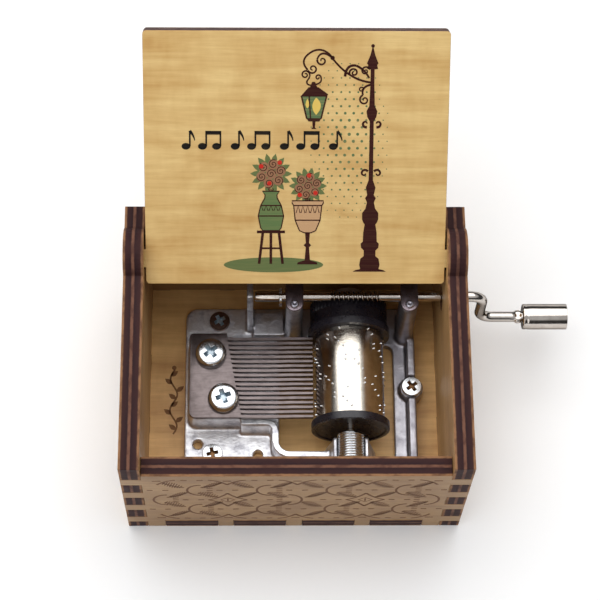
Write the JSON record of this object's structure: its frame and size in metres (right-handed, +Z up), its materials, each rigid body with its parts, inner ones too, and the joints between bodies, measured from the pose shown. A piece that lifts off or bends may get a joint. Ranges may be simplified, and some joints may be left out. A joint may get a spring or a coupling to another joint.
{
  "type": "hand crank music box",
  "caption": "Small finger-jointed plywood box with a hinged lid and a hand-cranked musical movement: pinned cylinder, steel comb, worm drive and a knob on a bent crank.",
  "frame": {"origin": "centre of the underside of the box", "axes": "+X to the right, the crank's side; +Y to the back, where the lid is hinged; +Z up"},
  "size_m": [0.0858, 0.0767, 0.0615],
  "materials": {
    "plywood": "laser-cut plywood, dark burnt edges, thin satin lacquer",
    "lid_plywood": "satin lacquered plywood with a printed picture on its inner face",
    "zinc_casting": "bright die-cast zinc, slightly mottled",
    "spring_steel": "ground spring steel",
    "dark_steel": "pressed steel, dull",
    "zinc_screw": "bright zinc plate",
    "nickel": "polished nickel plate",
    "black_plastic": "moulded black plastic, semi-gloss"
  },
  "bodies": {
    "root": {"bottom_panel": "plywood", "front_panel": "plywood", "back_panel": "plywood", "left_side_panel": "plywood", "right_side_panel": "plywood", "bedplate": "zinc_casting", "comb": "spring_steel", "comb_screw_rear": "zinc_screw", "comb_screw_front": "zinc_screw", "frame_screw_rear_left": "zinc_screw", "frame_screw_front_left": "zinc_screw", "frame_screw_right": "zinc_screw", "shaft_strap_left": "dark_steel", "shaft_strap_right": "dark_steel", "strap_rivet_left": "zinc_screw", "strap_rivet_right": "zinc_screw", "front_bearing_bush": "zinc_screw", "rear_bearing_bush": "nickel"},
    "lid": {"lid": "lid_plywood"},
    "crank": {"crankshaft": "nickel", "shaft_clip": "zinc_screw"},
    "knob": {"crank_knob": "nickel"},
    "cylinder": {"cylinder": "nickel", "worm_wheel": "black_plastic", "cylinder_cap": "black_plastic", "cylinder_arbor": "nickel"}
  },
  "joints": [
    {"name": "lid_hinge", "type": "hinge", "parent": "root", "child": "lid", "pos_m": [0, 0.0166, 0.03295], "axis": [1, 0, 0], "range_deg": [0, 140.5]},
    {"name": "crank_spin", "type": "hinge", "parent": "root", "child": "crank", "pos_m": [0, 0.0132, 0.0216], "axis": [1, 0, 0], "continuous": true},
    {"name": "cylinder_spin", "type": "hinge", "parent": "root", "child": "cylinder", "pos_m": [0.0107, 0, 0.01355], "axis": [0, 1, 0], "continuous": true},
    {"name": "knob_spin", "type": "hinge", "parent": "crank", "child": "knob", "pos_m": [0.0494, 0.0132, 0.0115], "axis": [1, 0, 0], "continuous": true}
  ],
  "couplings": [
    {"joint": "cylinder_spin", "follows": "crank_spin", "ratio": -0.02}
  ]
}
